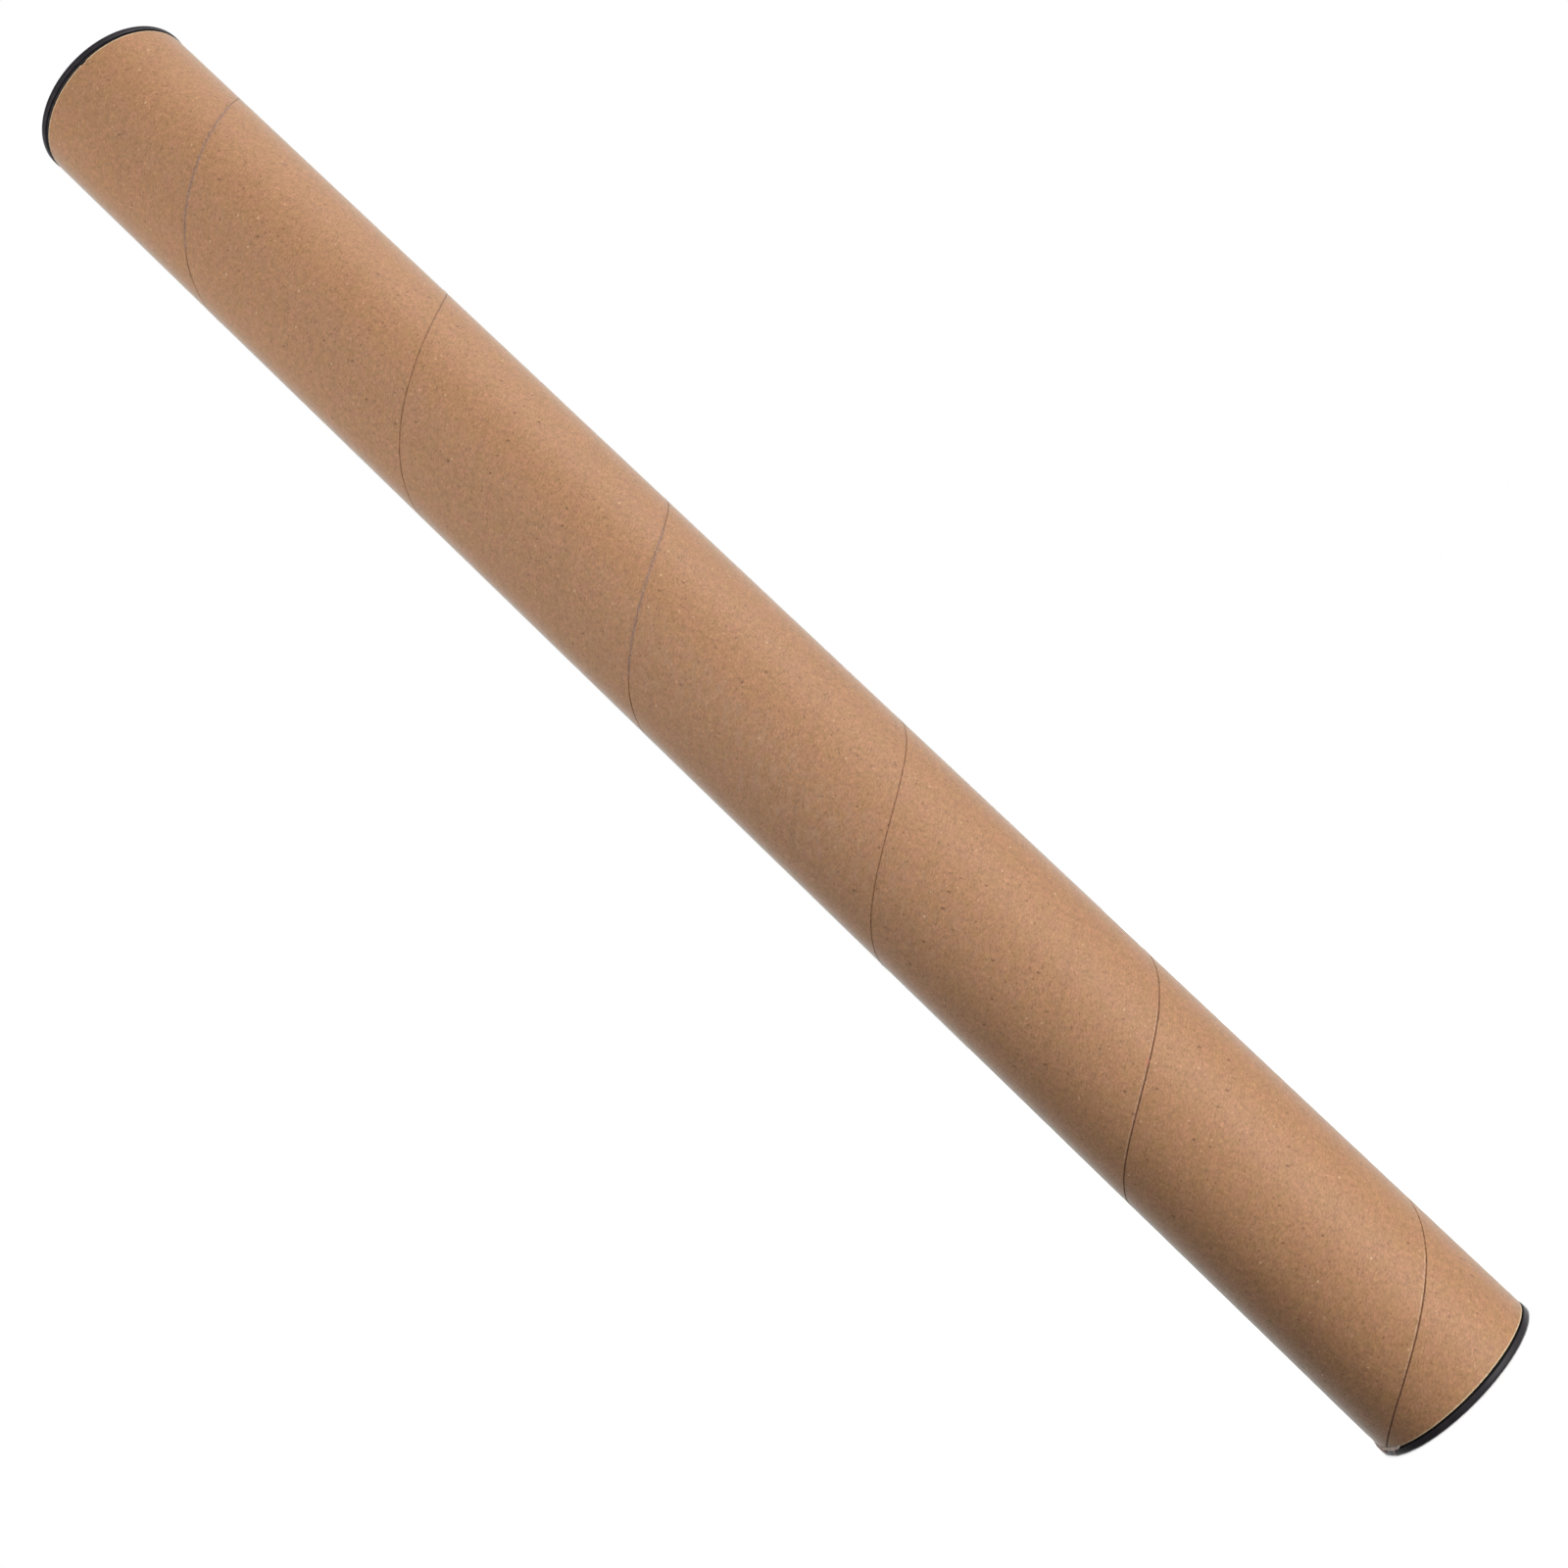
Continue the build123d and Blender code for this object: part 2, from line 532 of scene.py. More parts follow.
def wall_tree(section, materials):
    """The tree that winds the section into the wall, and gives paper, cut edge and liner their finish."""
    tree, inside, output, size = new_tree("wound_wall", wall_sizes)
    join = tree.nodes.new("GeometryNodeJoinGeometry")
    tree.links.new(wound_strip(tree, size, inside.outputs[0], section), join.inputs[0])
    for ring in wall_rings(tree, size):
        tree.links.new(ring, join.inputs[0])
    merge = tree.nodes.new("GeometryNodeMergeByDistance")
    merge.inputs["Distance"].default_value = 0.004 * MM
    x, y, z = parts_of(point_place(tree))
    radius = from_axis(x, y)
    liner_edge = bore_radius + bore_bevel * 0.6
    liner = work_out("LESS_THAN", radius, liner_edge)
    past_liner = work_out("GREATER_THAN", radius, liner_edge)
    fray = (rim_fray(tree, work_out("ARCTAN2", y, x) - seam_angle) - 0.5) * rim_fray_height
    reach = (upper_rim - lower_rim) / 2 - rim_bevel_height - fray - 0.02 * MM
    from_middle = work_out("ABSOLUTE", z - (lower_rim + upper_rim) / 2)
    cut = work_out("GREATER_THAN", from_middle, reach)
    paper, cut_edge, bore_paper = materials
    chain = [
        join,
        merge,
        raise_relief(tree, size),
        tree.nodes.new("GeometryNodeRealizeInstances"),
        set_material(tree, paper),
        set_material(tree, bore_paper, liner),
        set_material(tree, cut_edge, cut * past_liner),
    ]
    link_in_order(tree, chain, output)
    return tree


def new_object(name, mesh):
    piece = bpy.data.objects.new(name, mesh)
    bpy.context.scene.collection.objects.link(piece)
    return piece


def bake_modifiers(piece):
    """Turns a piece and its modifiers into a plain mesh."""
    graph = bpy.context.evaluated_depsgraph_get()
    mesh = bpy.data.meshes.new_from_object(piece.evaluated_get(graph), depsgraph=graph)
    piece.modifiers.clear()
    piece.data = mesh
    mesh.name = piece.name
    return mesh


def tidy_mesh(mesh, sharp_degrees):
    """Drops loose edges, turns the faces outwards and shades them smooth up to an angle."""
    shape = bmesh.new()
    shape.from_mesh(mesh)
    bmesh.ops.delete(shape, geom=[edge for edge in shape.edges if not edge.link_faces], context="EDGES")
    bmesh.ops.delete(shape, geom=[vert for vert in shape.verts if not vert.link_faces], context="VERTS")
    bmesh.ops.recalc_face_normals(shape, faces=shape.faces)
    shape.to_mesh(mesh)
    shape.free()
    mesh.shade_smooth()
    mesh.set_sharp_from_angle(angle=math.radians(sharp_degrees))


def paper_tube(materials):
    """The tube's wall, wound from its section by the tree."""
    section = strip_section()
    mesh = bpy.data.meshes.new("paper_tube")
    mesh.from_pydata([(0, 0, across) for across in section], [], [])
    tube = new_object("paper_tube", mesh)
    run_tree(tube, wall_tree(section, materials), wall_sizes)
    tidy_mesh(bake_modifiers(tube), 35)
    return tube


def draw(tree, lowest, highest, seed):
    """One random number for each point, the same each run."""
    node = tree.nodes.new("FunctionNodeRandomValue")
    node.data_type = "FLOAT"
    for name, term in (("Min", lowest), ("Max", highest), ("Seed", seed)):
        socket = next(socket for socket in node.inputs if socket.name == name and socket.enabled)
        plug(tree, socket, term)
    output = next(socket for socket in node.outputs if socket.enabled)
    return Number(tree, output)


fluff_sizes = SimpleNamespace(
    seed=7,
    lower_rim=lower_rim,
    outer_radius=outer_radius,
    strip_width=strip_width,
    seam_pitch=seam_pitch,
    seam_wander=wall_sizes.seam_wander,
    seam_drift=wall_sizes.seam_drift,
    fibre_length=0.9 * MM,
    fibre_radius=0.022 * MM,
)


def bent_fibre(tree, size):
    """One fibre that rises from the paper and bends over, as a thin three-sided hair."""
    length = size.fibre_length
    rooted = -0.03 * MM
    tip_height = 0.03 * MM
    line = tree.nodes.new("GeometryNodeCurveQuadraticBezier")
    line.inputs["Resolution"].default_value = 4
    line.inputs["Start"].default_value = (0, 0, rooted)
    plug(tree, line.inputs["Middle"], vector_of(tree, length * 0.15, 0.0, length * 0.3))
    plug(tree, line.inputs["End"], vector_of(tree, length, length * 0.25, tip_height))
    ring = tree.nodes.new("GeometryNodeCurvePrimitiveCircle")
    ring.inputs["Resolution"].default_value = 3
    plug(tree, ring.inputs["Radius"], size.fibre_radius)
    hair = tree.nodes.new("GeometryNodeCurveToMesh")
    tree.links.new(line.outputs[0], hair.inputs["Curve"])
    tree.links.new(ring.outputs[0], hair.inputs["Profile Curve"])
    hair.inputs["Fill Caps"].default_value = True
    return hair.outputs[0]


def fibres_on_seam(tree, size, first_turn, last_turn, count, seed_step):
    """Fibres that stand on both edges of the seam, along a stretch of it."""
    seed = size.seed + seed_step
    turned = draw(tree, first_turn * FULL_TURN, last_turn * FULL_TURN, seed)
    aside = draw(tree, -0.5 * MM, 0.5 * MM, seed + 1)
    lean = size.strip_width / size.seam_pitch
    above_spiral = (seam_wobble(size, turned) + aside) / lean
    height = turned * (size.seam_pitch / FULL_TURN) + above_spiral + size.lower_rim
    points = tree.nodes.new("GeometryNodePoints")
    points.inputs["Count"].default_value = count
    plug(tree, points.inputs["Position"], round_the_axis(tree, turned, size.outer_radius, height))
    outward = tree.nodes.new("FunctionNodeAlignRotationToVector")
    outward.axis = "Z"
    plug(tree, outward.inputs["Vector"], round_the_axis(tree, turned, 1.0, 0.0))
    spin = tree.nodes.new("FunctionNodeRotateRotation")
    spin.rotation_space = "LOCAL"
    tree.links.new(outward.outputs[0], spin.inputs["Rotation"])
    turn = tree.nodes.new("FunctionNodeEulerToRotation")
    plug(tree, turn.inputs[0], vector_of(tree, 0.0, 0.0, draw(tree, 0.0, FULL_TURN, seed + 2)))
    tree.links.new(turn.outputs[0], spin.inputs["Rotate By"])
    spread = tree.nodes.new("GeometryNodeInstanceOnPoints")
    tree.links.new(points.outputs[0], spread.inputs["Points"])
    tree.links.new(bent_fibre(tree, size), spread.inputs["Instance"])
    tree.links.new(spin.outputs[0], spread.inputs["Rotation"])
    scale = draw(tree, 0.4, 1.3, seed + 3)
    plug(tree, spread.inputs["Scale"], vector_of(tree, scale, scale, scale))
    return spread.outputs[0]


def seam_fluff(material):
    """Loose paper fibres: many on the felted stretches of the seam, and a few along the rest of it."""
    tree, inside, output, size = new_tree("seam_fluff", fluff_sizes)
    join = tree.nodes.new("GeometryNodeJoinGeometry")
    felt_fibres = 190
    lip_fibres = 20
    stray_fibres = 240
    stretches = [(first, last, felt_fibres) for first, last in felted_turns]
    stretches += [(first, last, lip_fibres) for first, last in lipped_turns]
    stretches.append((0.05, 5.7, stray_fibres))
    for number, (first, last, count) in enumerate(stretches):
        tree.links.new(fibres_on_seam(tree, size, first, last, count, number * 10), join.inputs[0])
    chain = [join, tree.nodes.new("GeometryNodeRealizeInstances"), set_material(tree, material)]
    link_in_order(tree, chain, output)
    fluff = new_object("seam_fluff", bpy.data.meshes.new("seam_fluff"))
    run_tree(fluff, tree, fluff_sizes)
    tidy_mesh(bake_modifiers(fluff), 80)
    return fluff


def ply_shell(name, columns, rows, place, thickness, material):
    """A thin curved piece of ply. place gives a point's angle in degrees, its radius and its height."""
    shape = bmesh.new()
    grid = []
    for column in range(columns + 1):
        line = []
        for row in range(rows + 1):
            degrees, radius, height = place(column / columns, row / rows)
            angle = math.radians(degrees)
            line.append(shape.verts.new((radius * math.cos(angle), radius * math.sin(angle), height)))
        grid.append(line)
    for left, right in zip(grid, grid[1:]):
        for row in range(rows):
            shape.faces.new((left[row], right[row], right[row + 1], left[row + 1]))
    mesh = bpy.data.meshes.new(name)
    shape.to_mesh(mesh)
    shape.free()
    mesh.materials.append(material)
    piece = new_object(name, mesh)
    solid = piece.modifiers.new("thickness", "SOLIDIFY")
    solid.thickness = thickness
    solid.offset = 0
    tidy_mesh(bake_modifiers(piece), 50)
    return piece


def hanging_ply(material):
    """The frayed edge of the outer ply beside the seam's start, which hangs a little over the flange."""
    first, last = -193, -166.5
    longest = 1.45 * MM
    above_rim = 0.9 * MM
    root = outer_radius - 0.02 * MM
    clear = flange_radius + 0.11 * MM

    def place(along, down):
        reach = longest * math.sin(math.pi * min(1, along * 0.62 + 0.05)) ** 0.7
        reach += 0.12 * MM * math.sin(along * 23) + 0.06 * MM * math.sin(along * 61)
        fallen = (above_rim + reach) * down
        radius = root + (clear - root) * min(1, fallen / above_rim) ** 1.5
        return first + (last - first) * along, radius, lower_rim + above_rim - fallen

    return ply_shell("hanging_ply", 48, 8, place, 0.12 * MM, material)


def torn_fringe(material):
    """The pale torn edge of the ply between the hanging part and the sliver, bent out over the rim."""
    first, last = -168, -145.5
    root = outer_radius - 0.14 * MM
    clear = flange_radius + 0.10 * MM

    def place(along, down):
        tapered = min(1, along * 9 + 0.5, (1 - along) * 5)
        ragged = 0.09 * math.sin(along * 13 + 1) + 0.04 * math.sin(along * 37)
        reach = (0.16 + 0.50 * along + ragged) * MM * tapered
        above_rim = (0.42 - 0.34 * along) * MM
        height = lower_rim + above_rim - (above_rim + reach) * down
        radius = root + (clear - root) * min(1, down * 1.6) ** 0.8
        return first + (last - first) * along, radius, height

    return ply_shell("torn_fringe", 48, 6, place, 0.10 * MM, material)


def ply_sliver(material):
    """The narrow sliver of ply that hangs over the flange from the torn corner."""
    above_rim = 0.35 * MM
    length = 2.05 * MM
    root = outer_radius - 0.1 * MM
    clear = flange_radius + 0.09 * MM

    def place(along, down):
        middle_degrees = -152.0 - 4.0 * down
        half_degrees = 0.95 * (1 - 0.65 * down)
        radius = root + (clear - root) * min(1, down / 0.2)
        height = lower_rim + above_rim - length * down
        return middle_degrees + half_degrees * (2 * along - 1), radius, height

    return ply_shell("ply_sliver", 4, 10, place, 0.09 * MM, material)


def rounded(corners, degrees_a_step=15):
    """A profile through corners given as radius, height and how far each is rounded."""
    points = []
    for index, (across, up, bend) in enumerate(corners):
        corner = Vector((across, up))
        if bend == 0:
            points.append(corner)
            continue
        before = (Vector(corners[index - 1][:2]) - corner).normalized()
        after = (Vector(corners[index + 1][:2]) - corner).normalized()
        half = before.angle(after) / 2
        centre = corner + (before + after).normalized() * (bend / math.sin(half))
        start = corner + before * (bend / math.tan(half)) - centre
        end = corner + after * (bend / math.tan(half)) - centre
        sweep = math.pi - 2 * half
        steps = max(2, round(math.degrees(sweep) / degrees_a_step))
        for step in range(steps + 1):
            share = step / steps
            arm = start * math.sin((1 - share) * sweep) + end * math.sin(share * sweep)
            points.append(centre + arm / math.sin(sweep))
    return points


def turned_piece(name, profile, columns):
    """A closed mesh turned round the axis from a profile that starts and ends on it."""
    shape = bmesh.new()
    rings = []
    for radius, height in profile:
        if radius == 0:
            rings.append([shape.verts.new((0, 0, height))] * columns)
            continue
        ring = []
        for column in range(columns):
            angle = FULL_TURN * column / columns
            ring.append(shape.verts.new((radius * math.cos(angle), radius * math.sin(angle), height)))
        rings.append(ring)
    for ring, following in zip(rings, rings[1:]):
        for column in range(columns):
            beside = (column + 1) % columns
            corners = [ring[column], ring[beside], following[beside], following[column]]
            shape.faces.new(list(dict.fromkeys(corners)))
    mesh = bpy.data.meshes.new(name)
    shape.to_mesh(mesh)
    shape.free()
    return mesh


def cap_profile():
    """The cap's section from the middle of its recess, over the flange and the plug, to the plug's end."""
    gate_radius = 1.6 * MM
    gate_height = 0.25 * MM
    corners = [
        (0, recess_floor - gate_height, 0),
        (gate_radius, recess_floor - gate_height, 0.1 * MM),
        (gate_radius + 0.2 * MM, recess_floor, 0.1 * MM),
        (recess_radius - plug_draft, recess_floor, 0.8 * MM),
        (recess_radius + 0.05 * MM, 0.4 * MM, 0.5 * MM),
        (recess_radius + 0.4 * MM, 0, 0.3 * MM),
        (flange_radius, 0, flange_edge_radius),
        (flange_radius, flange_thickness - relief_height, 0.4 * MM),
        (flange_radius - relief_depth, flange_thickness - relief_height * 0.8, 0.08 * MM),
        (flange_radius - relief_depth, flange_thickness, 0.06 * MM),
        (plug_radius, flange_thickness, 0.12 * MM),
    ]
    for grip_start in grip_starts:
        start = flange_thickness + grip_start
        corners += [
            (plug_radius, start, 0.15 * MM),
            (grip_radius, start + grip_width / 2, 0.2 * MM),
            (plug_radius, start + grip_width, 0.15 * MM),
        ]
    corners += [
        (plug_radius, plug_end - nose_length, 1.0 * MM),
        (plug_radius - nose_taper, plug_end, 0.5 * MM),
        (0, plug_end, 0),
    ]
    return rounded(corners)


def askew():
    """The turn of the upper cap, which touches the rim on its right and stands off it on its left."""
    rim_right = Matrix.Translation((outer_radius, 0, upper_rim))
    lean = math.asin(upper_cap_gap / (2 * outer_radius))
    return rim_right @ Matrix.Rotation(lean, 4, "Y") @ rim_right.inverted()


def plug_cap(name, upside_down, material):
    """One plug cap in place: the lower one as it is turned, the upper one upside down and askew."""
    mesh = turned_piece(name, cap_profile(), cap_columns)
    if upside_down:
        top = frame_high.z
        mesh.transform(askew() @ Matrix.Translation((0, 0, top)) @ Matrix.Rotation(math.pi, 4, "X"))
    mesh.materials.append(material)
    tidy_mesh(mesh, 40)
    return new_object(name, mesh)


def new_material(name):
    """A material and its tree, with only a Principled shader in it."""
    material = bpy.data.materials.new(name)
    material.use_nodes = True
    tree = material.node_tree
    shader = next(node for node in tree.nodes if node.type == "BSDF_PRINCIPLED")
    return material, tree, shader


def object_place(tree):
    """Where a point of the surface lies, in the frame."""
    return Number(tree, tree.nodes.new("ShaderNodeTexCoord").outputs["Object"])


def blend_colours(share, first, second):
    """A colour that goes from the first to the second as the share goes from 0 to 1."""
    node = share.tree.nodes.new("ShaderNodeMix")
    node.data_type = "RGBA"
    plug(share.tree, node.inputs["Factor"], share)
    colour_inputs = [socket for socket in node.inputs if socket.type == "RGBA"]
    for socket, colour in zip(colour_inputs, (first, second)):
        plug(share.tree, socket, colour if isinstance(colour, Number) else (*colour, 1))
    output = next(socket for socket in node.outputs if socket.type == "RGBA")
    return Number(share.tree, output)


def shade(colour, factor):
    """The colour times a factor, which makes it darker or lighter."""
    node = colour.tree.nodes.new("ShaderNodeVectorMath")
    node.operation = "SCALE"
    plug(colour.tree, node.inputs[0], colour)
    plug(colour.tree, node.inputs["Scale"], factor)
    return Number(colour.tree, node.outputs[0])


def finish(tree, shader, colour, roughness, relief):
    """Gives the shader its colour, its roughness and a fine relief, whose height is in millimetres."""
    plug(tree, shader.inputs["Base Color"], colour)
    plug(tree, shader.inputs["Roughness"], roughness)
    bump = tree.nodes.new("ShaderNodeBump")
    bump.inputs["Distance"].default_value = MM
    plug(tree, bump.inputs["Height"], relief)
    tree.links.new(bump.outputs[0], shader.inputs["Normal"])


def unwound(tree):
    """A place on the strip as if it were unrolled flat, along and across it, and its turn and height."""
    x, y, z = parts_of(object_place(tree))
    turned_by = work_out("ARCTAN2", y, x) - seam_angle
    strips = (z - lower_rim) / seam_pitch - turned_by / FULL_TURN
    strip = work_out("FLOOR", strips)
    unrolled = (turned_by + strip * FULL_TURN) * outer_radius
    along = unrolled * math.cos(seam_rise) + (z - lower_rim) * math.sin(seam_rise)
    across = (strips - strip) * strip_width
    return along, across, turned_by, z


def speckled(colour, flat, other_flat):
    """Adds the specks of darker and paler fibre, which have ragged outlines."""
    tree = colour.tree
    along, across, nothing = parts_of(flat)
    along = along + (noise(flat, 0.30 * MM, detail=1) - 0.5) * 0.7 * MM
    across = across + (noise(other_flat, 0.30 * MM, detail=1) - 0.5) * 0.7 * MM
    dashes = vector_of(tree, along * 0.6 + 1.3, across, 0.0)
    cross_dashes = vector_of(tree, along, across * 0.6, 0.0)
    dots = vector_of(tree, along + 3.7, across, 0.0)
    rare_dots = vector_of(tree, along * 0.7, across + 2.1, 0.0)
    dark = specks(dashes, 1.35 * MM, 0.25 * MM, 0.65) * 0.6
    darkest = specks(cross_dashes, 4.5 * MM, 0.36 * MM, 0.7) * 0.9
    colour = blend_colours(work_out("MAXIMUM", dark, darkest), colour, (0.190, 0.080, 0.040))
    cluster = rise(noise(other_flat, 9 * MM), 0.42, 0.60)
    pale = specks(dots, 1.6 * MM, 0.22 * MM, 0.5) * (cluster * 0.6 + 0.06)
    palest = specks(rare_dots, 6 * MM, 0.27 * MM, 0.6) * 0.8
    return blend_colours(work_out("MAXIMUM", pale, palest), colour, (0.82, 0.56, 0.35))


def scuffs_and_sheen(turned_by, z, streaky):
    """How much scuffing the paper has, with a painted sheen on the same patches, on the side and the height
    where both show most.
    """
    facing = work_out("COSINE", turned_by + (seam_angle - scuff_sheen_angle))
    most = rise(facing, 0.80, 0.99) * (0.35 + hump(z - scuff_sheen_height, scuff_sheen_reach))
    return most * rise(noise(streaky, 2.2 * MM, detail=4, roughness=0.7), 0.42, 0.72)


def with_seam(colour, seam_turned, distance, broken):
    """Adds the butt seam: dark where it is open, grey where felted over, and a painted highlight with paler
    fibres where its edge has lifted.
    Gives the colour, and how much each place is in the gap and in the fluff."""
    half = wall_sizes.seam_half_width
    narrowed = (0.5 - noise(seam_turned * outer_radius, 1.4 * MM, detail=3, line=True)) * 0.22 * MM
    away = work_out("ABSOLUTE", distance) + narrowed
    in_fluff = rise(away, half * 2.8, half * 1.2) * felted(seam_turned)
    fluff_colour = blend_colours(rise(broken, 0.40, 0.62), (0.22, 0.12, 0.09), (0.54, 0.36, 0.29))
    colour = blend_colours(in_fluff * rise(broken, 0.25, 0.5) * 0.8, colour, fluff_colour)
    in_gap = rise(away, half * 1.35, half * 0.7) * seam_strength(seam_turned)
    colour = blend_colours(in_gap, colour, (0.125, 0.050, 0.024))
    # Painted highlight on the lifted lip, with its paler fibres
    lip_highlight = lipped(seam_turned) * hump(distance - 0.44 * MM, 0.15 * MM) * rise(broken, 0.40, 0.60)
    colour = blend_colours(lip_highlight * 0.65, colour, (0.80, 0.56, 0.37))
    past_red_fibre = (seam_turned / FULL_TURN - red_fibre_turn) * (FULL_TURN * outer_radius)
    reddish = hump(past_red_fibre, 1.1 * MM) * hump(distance - 0.45 * MM, 0.22 * MM)
    colour = blend_colours(reddish * 0.85, colour, (0.62, 0.16, 0.13))
    return colour, in_gap, in_fluff


def brown_paper():
    """The outer ply: mottled brown paper, grained along the winding, with its specks, scuffing and seam,
    and painted sheen, highlight and shade.
    """
    material, tree, shader = new_material("brown_paper")
    along, across, turned_by, z = unwound(tree)
    flat = vector_of(tree, along, across, 0.0)
    other_flat = vector_of(tree, along + 3.7, across, 0.5)
    streaky = vector_of(tree, along * 0.5, across, 0.0)
    clouds = noise(flat, 8 * MM, detail=3)
    grain = noise(streaky, 0.46 * MM, detail=3, roughness=0.65)
    blotches = noise(flat, 1.8 * MM, detail=3, roughness=0.75)
    broken = noise(streaky, 0.35 * MM, detail=3, roughness=0.7)
    hue = noise(other_flat, 5 * MM, detail=1) * 0.5 + noise(other_flat, 2.2 * MM, roughness=0.6) * 0.5
    tan = (0.466, 0.2426, 0.1100)
    pinkish = (0.488, 0.2400, 0.1225)
    colour = blend_colours(rise(hue, 0.38, 0.62), tan, pinkish)
    colour = shade(colour, 1 + (clouds - 0.5) * 0.12 + (grain - 0.5) * 1.15 + (blotches - 0.5) * 0.78)
    colour = speckled(colour, flat, other_flat)
    scuff_and_sheen = scuffs_and_sheen(turned_by, z, streaky)
    # Scuffing with a painted sheen: paler, dustier patches on one side
    colour = blend_colours(scuff_and_sheen * 0.22, colour, (0.60, 0.43, 0.33))
    strips, seam_turned, distance = seam_finder(wall_sizes, turned_by, z)
    # Painted shade: the paper is drawn a little darker along the faint crease over the inner seam
    colour = shade(colour, 1 - hump(past_inner_seam(wall_sizes, strips), 0.9 * MM) * 0.05)
    colour, in_gap, in_fluff = with_seam(colour, seam_turned, distance, broken)

    # The torn corner shows the paler ply underneath, and the nick is painted dark as shade in its recess
    under_ply = blend_colours(broken, (0.50, 0.35, 0.28), (0.66, 0.50, 0.40))
    colour = blend_colours(torn_corner(wall_sizes, turned_by, z, distance), colour, under_ply)
    colour = blend_colours(rim_nick(wall_sizes, turned_by, z), colour, (0.13, 0.07, 0.05))

    roughness = 0.60 + (clouds - 0.5) * 0.10 + (grain - 0.5) * 0.16
    roughness = roughness + (in_gap + in_fluff) * 0.3 + scuff_and_sheen * 0.1
    relief = grain * 0.030 + blotches * 0.012 + noise(flat, 12 * MM) * 0.09 + in_fluff * broken * 0.12
    finish(tree, shader, colour, roughness, relief)
    shader.inputs["Sheen Weight"].default_value = 0.5
    shader.inputs["Sheen Roughness"].default_value = 0.35
    shader.inputs["Sheen Tint"].default_value = (0.7, 0.95, 1.0, 1)
    return material


def cut_paper():
    """The cut end of the wall, paler than its faces, with the plies as fine rings."""
    material, tree, shader = new_material("cut_paper")
    place = object_place(tree)
    x, y, z = parts_of(place)
    plies = noise(from_axis(x, y), 0.16 * MM, detail=2, line=True)
    fluff = noise(place, 0.35 * MM, detail=3)
    colour = blend_colours(plies, (0.70, 0.52, 0.31), (0.86, 0.68, 0.45))
    colour = blend_colours(rise(fluff, 0.30, 0.58), (0.50, 0.33, 0.18), colour)
    finish(tree, shader, colour, 0.9, plies * 0.03 + fluff * 0.05)
    return material


def liner_paper():
    """The inner ply, seen in the bore: a greyer board paper with a butt seam of its own."""
    material, tree, shader = new_material("liner_paper")
    along, across, turned_by, z = unwound(tree)
    flat = vector_of(tree, along, across, 0.0)
    clouds = noise(flat, 6 * MM, detail=4)
    fibres = noise(vector_of(tree, along * 0.4, across, 0.0), 0.5 * MM, detail=3)
    colour = blend_colours(clouds, (0.33, 0.215, 0.14), (0.42, 0.29, 0.19))
    colour = blend_colours(rise(fibres, 0.3, 0.6), (0.26, 0.17, 0.11), colour)
    seam = rise(work_out("ABSOLUTE", across - 0.7 * strip_width), 0.30 * MM, 0.12 * MM)
    colour = blend_colours(seam, colour, (0.07, 0.04, 0.025))
    finish(tree, shader, colour, 0.85, fibres * 0.03 - seam * 0.15)
    return material


def paper_fluff(name, darkest, palest):
    """Loose fibres and torn ply edges: greyish and mottled between two colours."""
    material, tree, shader = new_material(name)
    place = object_place(tree)
    mottle = noise(place, 0.8 * MM, detail=3)
    colour = blend_colours(rise(mottle, 0.35, 0.65), darkest, palest)
    finish(tree, shader, colour, 0.85, noise(place, 0.15 * MM) * 0.02)
    return material


def black_plastic():
    """Moulded black plastic, satin, with the fine texture of its mould, faint rubs and dust, and painted
    shade in the relief under each rim.
    """
    material, tree, shader = new_material("black_plastic")
    place = object_place(tree)
    x, y, z = parts_of(place)
    texture = noise(place, 0.16 * MM, detail=3)
    wear = noise(place, 3 * MM, detail=4)
    rubs = noise(vector_of(tree, x, y, z * 6), 1.1 * MM, detail=4, roughness=0.7)
    dust = rise(noise(place, 0.30 * MM, detail=2), 0.66, 0.74) * rise(wear, 0.45, 0.65)
    colour = blend_colours(rise(wear, 0.35, 0.75), (0.025, 0.021, 0.026), (0.036, 0.031, 0.037))
    colour = blend_colours(dust * 0.35, colour, (0.20, 0.17, 0.17))

    # Painted shade: the relief under each rim is darkened in colour as if in its own shadow, and made matte
    from_middle = work_out("ABSOLUTE", z - (lower_rim + upper_rim) / 2)
    rim_reach = (upper_rim - lower_rim) / 2
    shaded_relief = rise(from_middle, rim_reach + relief_height * 1.5, rim_reach + relief_height * 0.8)
    shaded_relief = shaded_relief * rise(from_axis(x, y), flange_radius - 1.2 * MM, flange_radius - 0.8 * MM)
    colour = shade(colour, 1 - shaded_relief * 0.85)
    roughness = 0.44 + wear * 0.12 + rise(rubs, 0.5, 0.75) * 0.10 + shaded_relief * 0.35
    finish(tree, shader, colour, roughness, texture * 0.008 + rubs * 0.004)
    shader.inputs["Specular IOR Level"].default_value = 0.28
    return material


def pale_floor():
    """The plain pale floor that the tube stands on."""
    half = 30.0
    corners = [(-half, -half, 0), (half, -half, 0), (half, half, 0), (-half, half, 0)]
    mesh = bpy.data.meshes.new("floor")
    mesh.from_pydata(corners, [], [(0, 1, 2, 3)])
    material, tree, shader = new_material("pale_floor")
    shader.inputs["Base Color"].default_value = (0.9, 0.9, 0.9, 1)
    shader.inputs["Roughness"].default_value = 0.9
    shader.inputs["Specular IOR Level"].default_value = 0
    mesh.materials.append(material)
    floor = new_object("floor", mesh)
    floor.visible_diffuse = False
    floor.visible_glossy = False
    floor.visible_shadow = False
    return floor


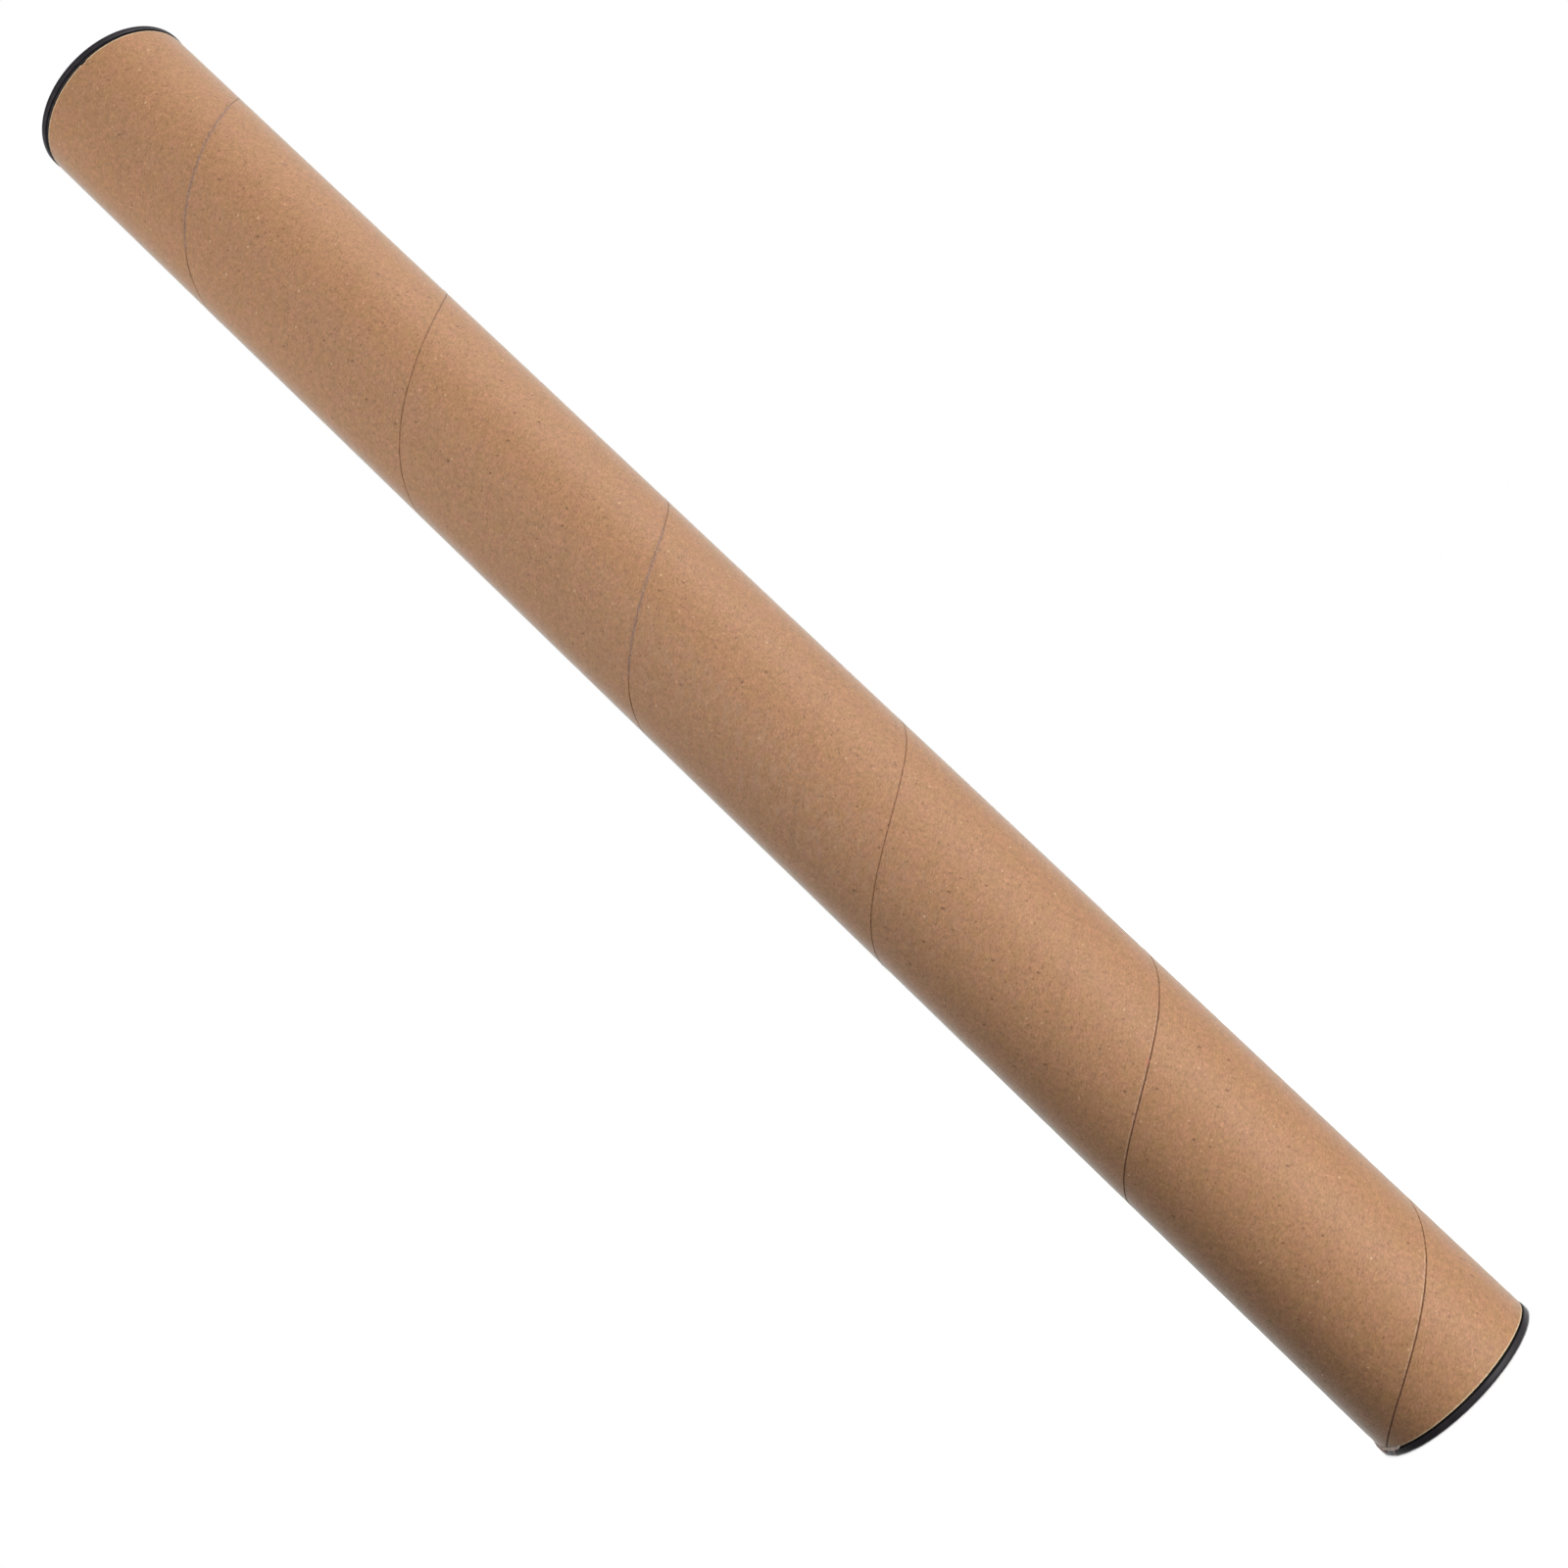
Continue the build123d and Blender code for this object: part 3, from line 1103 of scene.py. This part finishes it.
def add_camera():
    """The photograph's view: low in front of the tube, and rolled so that it lies across the picture."""
    data = bpy.data.cameras.new("camera")
    data.sensor_width = sensor_width
    data.lens = focal_pixels / photo_width * sensor_width
    data.clip_start = 0.01
    data.clip_end = 200
    camera = bpy.data.objects.new("camera", data)
    bpy.context.scene.collection.objects.link(camera)
    aim = Matrix.Rotation(camera_yaw, 4, "Z") @ Matrix.Rotation(math.pi / 2 + camera_tilt, 4, "X")
    place = Matrix.Translation((0, -camera_distance, camera_height))
    camera.matrix_world = place @ aim @ Matrix.Rotation(camera_roll, 4, "Z")
    bpy.context.scene.camera = camera


def soft_light(name, azimuth, height, power, spread):
    """A square soft light that looks level at the tube's axis. Azimuth 0 is in front, 90 to the right."""
    distance = 0.7
    data = bpy.data.lights.new(name, "AREA")
    data.size = 0.5
    data.energy = power
    data.spread = math.radians(spread)
    light = bpy.data.objects.new(name, data)
    light.visible_camera = False
    bpy.context.scene.collection.objects.link(light)
    across = Vector((math.sin(math.radians(azimuth)), -math.cos(math.radians(azimuth)), 0))
    look = (-across).to_track_quat("-Z", "Y").to_matrix().to_4x4()
    light.matrix_world = Matrix.Translation(across * distance + Vector((0, 0, height))) @ look


def surround():
    """A white room: the camera sees it plain white, and its light comes mostly from behind."""
    world = bpy.data.worlds.new("surround")
    bpy.context.scene.world = world
    world.use_nodes = True
    tree = world.node_tree
    tree.nodes.clear()
    output = tree.nodes.new("ShaderNodeOutputWorld")
    mix = tree.nodes.new("ShaderNodeMixShader")
    seen = tree.nodes.new("ShaderNodeBackground")
    lighting = tree.nodes.new("ShaderNodeBackground")
    seen.inputs["Color"].default_value = (1, 1, 1, 1)
    lighting.inputs["Color"].default_value = (1, 1, 1, 1)
    direction = Number(tree, tree.nodes.new("ShaderNodeTexCoord").outputs["Generated"])
    right, behind = (work_out("MAXIMUM", part, 0.0) for part in parts_of(direction)[:2])
    right_light = 0.135
    back_light = 2.56
    strength = right * right * right_light + behind * behind * back_light
    tree.links.new(strength.socket, lighting.inputs["Strength"])
    path = tree.nodes.new("ShaderNodeLightPath")
    tree.links.new(path.outputs["Is Camera Ray"], mix.inputs[0])
    tree.links.new(lighting.outputs[0], mix.inputs[1])
    tree.links.new(seen.outputs[0], mix.inputs[2])
    tree.links.new(mix.outputs[0], output.inputs[0])


def floor_light(floor):
    """A wide light for the floor alone, so that it stays as pale as the surround."""
    sun = bpy.data.lights.new("floor_light", "SUN")
    sun.energy = 4.0
    sun.angle = math.radians(40)
    lamp = bpy.data.objects.new("floor_light", sun)
    bpy.context.scene.collection.objects.link(lamp)
    lit = bpy.data.collections.new("floor_only")
    lit.objects.link(floor)
    lamp.light_linking.receiver_collection = lit


def studio_light(floor):
    surround()
    soft_light("front_high", -15, 0.50, 2.50, 180)
    soft_light("left_high", -75, 0.50, 0.46, 60)
    soft_light("right_low", 45, -0.05, 0.86, 60)
    soft_light("right_high", 75, 0.50, 0.87, 60)
    floor_light(floor)


def main():
    black = black_plastic()
    fluff = paper_fluff("paper_fluff", (0.40, 0.27, 0.21), (0.62, 0.46, 0.37))
    torn = paper_fluff("torn_paper", (0.54, 0.42, 0.36), (0.78, 0.65, 0.57))
    tube = paper_tube((brown_paper(), cut_paper(), liner_paper()))
    bottom = plug_cap("bottom_plug_cap", False, black)
    top = plug_cap("top_plug_cap", True, black)
    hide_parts("tube")
    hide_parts("bottom_cap")
    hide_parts("top_cap")
    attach(bottom, "bottom_cap")
    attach(top, "top_cap")
    for piece in (tube, seam_fluff(fluff), hanging_ply(fluff), torn_fringe(torn), ply_sliver(torn)):
        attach(piece, "tube")
    studio_light(pale_floor())
    add_camera()
    bpy.context.scene.view_settings.view_transform = "Standard"


main()
